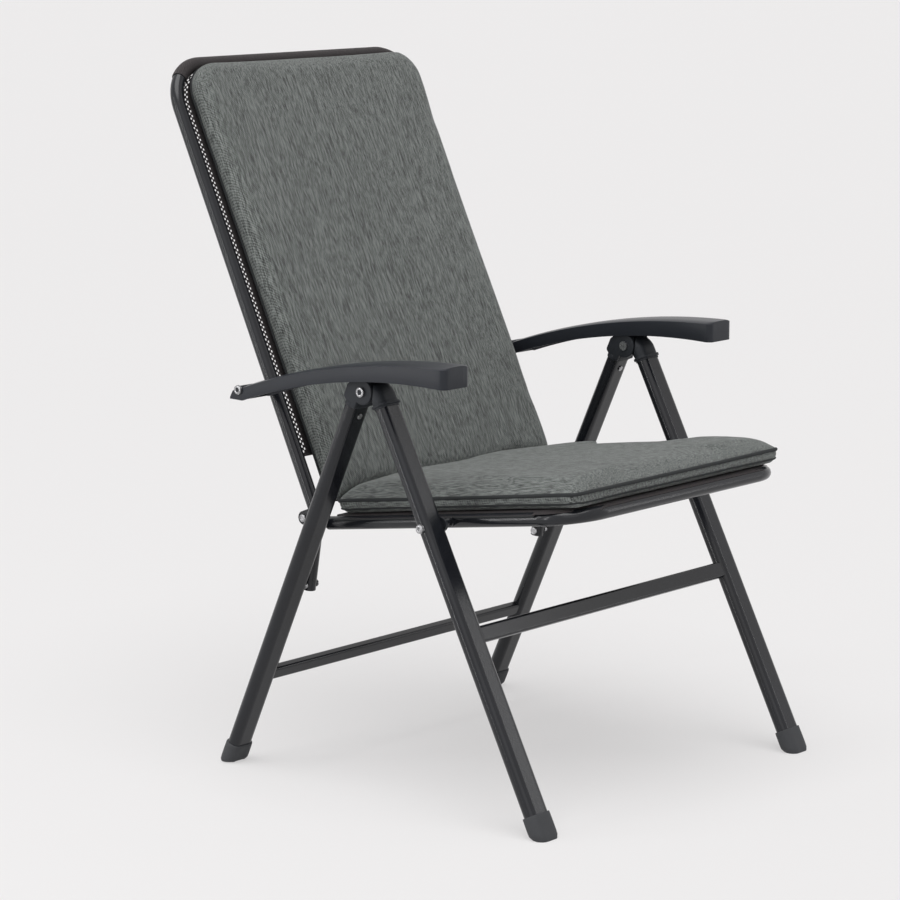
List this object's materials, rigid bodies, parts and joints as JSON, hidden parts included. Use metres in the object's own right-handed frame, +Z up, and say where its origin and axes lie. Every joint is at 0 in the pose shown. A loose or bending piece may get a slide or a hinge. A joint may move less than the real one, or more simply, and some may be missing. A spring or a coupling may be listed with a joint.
{
  "type": "folding chair",
  "caption": "Folding high-back garden chair with flat-oval metal legs, curved notched armrests and padded grey seat and back cushions.",
  "frame": {"origin": "on the floor under the middle of the chair's overall box", "axes": "+Z up, the sitter looks along -Y, +X is the sitter's left"},
  "size_m": [0.668, 0.7903, 1.0361],
  "materials": {
    "coated_metal": "satin dark slate powder coat",
    "grey_plastic": "matt dark moulded plastic",
    "arm_plastic": "fine satin dark slate moulding",
    "rubber": "matt",
    "bright_steel": "plated",
    "mesh_fabric": "coarse woven mesh",
    "cushion_fabric": "melange woven grey with dark piping"
  },
  "bodies": {
    "front_legs": {"left_front_leg": "coated_metal", "right_front_leg": "coated_metal", "left_front_foot": "rubber", "right_front_foot": "rubber", "front_crossbar": "coated_metal", "left_front_elbow": "grey_plastic", "right_front_elbow": "grey_plastic", "left_peg_cup": "grey_plastic", "right_peg_cup": "grey_plastic", "cup_rivets": "bright_steel", "hinge_rivets": "bright_steel"},
    "rear_legs": {"left_rear_leg": "coated_metal", "right_rear_leg": "coated_metal", "left_rear_foot": "rubber", "right_rear_foot": "rubber", "rear_crossbar": "coated_metal", "left_rear_knuckle": "grey_plastic", "right_rear_knuckle": "grey_plastic", "knuckle_rivets": "bright_steel", "back_rivets": "bright_steel"},
    "back": {"back_frame": "coated_metal", "left_back_lug": "coated_metal", "right_back_lug": "coated_metal", "back_sling": "mesh_fabric", "back_cushion": "cushion_fabric", "seat_rivets": "bright_steel", "arm_rivets": "bright_steel", "arm_bushes": "grey_plastic"},
    "seat": {"seat_frame": "coated_metal", "left_seat_end": "coated_metal", "right_seat_end": "coated_metal", "left_seat_peg": "bright_steel", "right_seat_peg": "bright_steel", "seat_sling": "mesh_fabric", "seat_cushion": "cushion_fabric"},
    "left_arm": {"left_armrest": "arm_plastic", "left_latch_rack": "grey_plastic"},
    "right_arm": {"right_armrest": "arm_plastic", "right_latch_rack": "grey_plastic"}
  },
  "joints": [
    {"name": "leg_fold", "type": "hinge", "parent": "front_legs", "child": "rear_legs", "pos_m": [0, -0.0635, 0.59], "axis": [-1, 0, 0], "range_deg": [0, 51.4], "deforming": ["seat_cushion", "back_cushion"]},
    {"name": "back_turn", "type": "hinge", "parent": "rear_legs", "child": "back", "pos_m": [0, 0.09277, 0.28205], "axis": [1, 0, 0], "range_deg": [0, 35]},
    {"name": "seat_turn", "type": "hinge", "parent": "back", "child": "seat", "pos_m": [0, 0.09332, 0.38253], "axis": [1, 0, 0], "range_deg": [-97, 0]},
    {"name": "left_arm_turn", "type": "hinge", "parent": "back", "child": "left_arm", "pos_m": [0, 0.165, 0.571], "axis": [1, 0, 0], "range_deg": [-109, 0]},
    {"name": "right_arm_turn", "type": "hinge", "parent": "back", "child": "right_arm", "pos_m": [0, 0.165, 0.571], "axis": [1, 0, 0], "range_deg": [-109, 0]}
  ],
  "couplings": [
    {"joint": "back_turn", "follows": "leg_fold", "ratio": 0.6615},
    {"joint": "seat_turn", "follows": "leg_fold", "ratio": -1.8677},
    {"joint": "left_arm_turn", "follows": "leg_fold", "ratio": -2.0934},
    {"joint": "right_arm_turn", "follows": "leg_fold", "ratio": -2.0934}
  ]
}
